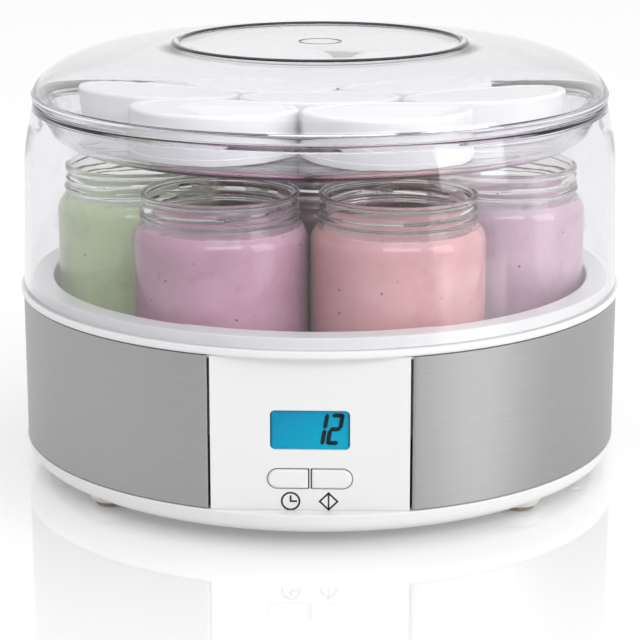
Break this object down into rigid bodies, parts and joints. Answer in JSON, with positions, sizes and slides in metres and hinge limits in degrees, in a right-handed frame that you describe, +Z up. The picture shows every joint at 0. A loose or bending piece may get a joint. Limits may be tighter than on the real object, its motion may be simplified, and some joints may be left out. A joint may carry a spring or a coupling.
{
  "type": "yogurt maker",
  "caption": "Round yogurt maker: a heated base with a timer panel and a clear cover over glass jars, whose top is a tray for the jar lids under a clear dome.",
  "frame": {"origin": "on the table, under the centre of the round base", "axes": "+Z up, the control panel faces -Y, +X to the right as seen from the front"},
  "size_m": [0.238, 0.238, 0.169],
  "materials": {
    "white_plastic": "smooth white moulding",
    "white_underside": "plain white moulding",
    "steel": "brushed along its length",
    "clear_plastic": "clear moulding",
    "jar_glass": "clear",
    "rubber": "matt beige",
    "display_window": "clear lens",
    "display": "blue backlight",
    "circuit_board": "green laminate",
    "black_plastic": "moulded",
    "screw_steel": "plated",
    "aluminium": "rolled sheet",
    "silicone": "red silicone",
    "fuse_ceramic": "ceramic body",
    "transformer_wrap": "yellow tape",
    "relay_case": "blue case",
    "capacitor_case": "dipped",
    "terminal_case": "green",
    "yogurt_plum": "wet and smooth",
    "yogurt_lilac": "wet and smooth",
    "yogurt_peach": "wet and smooth",
    "yogurt_vanilla": "wet and smooth",
    "yogurt_green": "wet and smooth",
    "yogurt_mauve": "wet and smooth",
    "yogurt_pink": "wet and smooth"
  },
  "bodies": {
    "base": {"outer_housing": "white_plastic", "steel_band": "steel", "inner_basin": "white_plastic", "bottom_cover": "white_underside", "cord_gland": "white_underside", "foot_front_left": "rubber", "foot_front_right": "rubber", "foot_back_right": "rubber", "foot_back_left": "rubber", "screw_front_left": "screw_steel", "screw_front_right": "screw_steel", "screw_back_right": "screw_steel", "screw_back_left": "screw_steel", "control_panel": "white_plastic", "display_window": "display_window", "lcd_module": "display", "control_board": "circuit_board", "tact_switch_left": "black_plastic", "tact_switch_right": "black_plastic", "heat_spreader": "aluminium", "heating_mat": "silicone", "temperature_sensor": "black_plastic", "thermal_fuse": "fuse_ceramic", "power_board": "circuit_board", "transformer": "transformer_wrap", "relay": "relay_case", "filter_capacitor": "capacitor_case", "terminal_block": "terminal_case"},
    "button_left": {"button_left": "white_plastic"},
    "button_right": {"button_right": "white_plastic"},
    "cover": {"clear_cover": "clear_plastic", "tray_floor": "clear_plastic"},
    "dome": {"dome_lid": "clear_plastic"},
    "jar_centre": {"jar_centre": "jar_glass", "yogurt_centre": "yogurt_plum"},
    "jar_right": {"jar_right": "jar_glass", "yogurt_right": "yogurt_lilac"},
    "jar_back_right": {"jar_back_right": "jar_glass", "yogurt_back_right": "yogurt_peach"},
    "jar_back_left": {"jar_back_left": "jar_glass", "yogurt_back_left": "yogurt_vanilla"},
    "jar_left": {"jar_left": "jar_glass", "yogurt_left": "yogurt_green"},
    "jar_front_left": {"jar_front_left": "jar_glass", "yogurt_front_left": "yogurt_mauve"},
    "jar_front_right": {"jar_front_right": "jar_glass", "yogurt_front_right": "yogurt_pink"},
    "jar_lid_centre": {"jar_lid_centre": "white_plastic"},
    "jar_lid_right": {"jar_lid_right": "white_plastic"},
    "jar_lid_back_right": {"jar_lid_back_right": "white_plastic"},
    "jar_lid_back_left": {"jar_lid_back_left": "white_plastic"},
    "jar_lid_left": {"jar_lid_left": "white_plastic"},
    "jar_lid_front_left": {"jar_lid_front_left": "white_plastic"},
    "jar_lid_front_right": {"jar_lid_front_right": "white_plastic"}
  },
  "joints": [
    {"name": "cover_lift", "type": "slide", "parent": "base", "child": "cover", "axis": [0, 0, 1], "range_m": [0, 0.2]},
    {"name": "dome_lift", "type": "slide", "parent": "cover", "child": "dome", "axis": [0, 0, 1], "range_m": [0, 0.1]},
    {"name": "button_left_press", "type": "slide", "parent": "base", "child": "button_left", "axis": [0, 1, 0], "range_m": [0, 0.0006], "stiffness_N_per_m": 400, "springref_m": -0.0008},
    {"name": "button_right_press", "type": "slide", "parent": "base", "child": "button_right", "axis": [0, 1, 0], "range_m": [0, 0.0006], "stiffness_N_per_m": 400, "springref_m": -0.0008},
    {"name": "jar_centre_lift", "type": "slide", "parent": "base", "child": "jar_centre", "axis": [0, 0, 1], "range_m": [0, 0.009]},
    {"name": "jar_right_lift", "type": "slide", "parent": "base", "child": "jar_right", "axis": [0, 0, 1], "range_m": [0, 0.009]},
    {"name": "jar_back_right_lift", "type": "slide", "parent": "base", "child": "jar_back_right", "axis": [0, 0, 1], "range_m": [0, 0.009]},
    {"name": "jar_back_left_lift", "type": "slide", "parent": "base", "child": "jar_back_left", "axis": [0, 0, 1], "range_m": [0, 0.009]},
    {"name": "jar_left_lift", "type": "slide", "parent": "base", "child": "jar_left", "axis": [0, 0, 1], "range_m": [0, 0.009]},
    {"name": "jar_front_left_lift", "type": "slide", "parent": "base", "child": "jar_front_left", "axis": [0, 0, 1], "range_m": [0, 0.009]},
    {"name": "jar_front_right_lift", "type": "slide", "parent": "base", "child": "jar_front_right", "axis": [0, 0, 1], "range_m": [0, 0.009]},
    {"name": "jar_lid_centre_lift", "type": "slide", "parent": "cover", "child": "jar_lid_centre", "axis": [0, 0, 1], "range_m": [0, 0.006]},
    {"name": "jar_lid_right_lift", "type": "slide", "parent": "cover", "child": "jar_lid_right", "axis": [0, 0, 1], "range_m": [0, 0.006]},
    {"name": "jar_lid_back_right_lift", "type": "slide", "parent": "cover", "child": "jar_lid_back_right", "axis": [0, 0, 1], "range_m": [0, 0.006]},
    {"name": "jar_lid_back_left_lift", "type": "slide", "parent": "cover", "child": "jar_lid_back_left", "axis": [0, 0, 1], "range_m": [0, 0.006]},
    {"name": "jar_lid_left_lift", "type": "slide", "parent": "cover", "child": "jar_lid_left", "axis": [0, 0, 1], "range_m": [0, 0.006]},
    {"name": "jar_lid_front_left_lift", "type": "slide", "parent": "cover", "child": "jar_lid_front_left", "axis": [0, 0, 1], "range_m": [0, 0.006]},
    {"name": "jar_lid_front_right_lift", "type": "slide", "parent": "cover", "child": "jar_lid_front_right", "axis": [0, 0, 1], "range_m": [0, 0.006]}
  ]
}
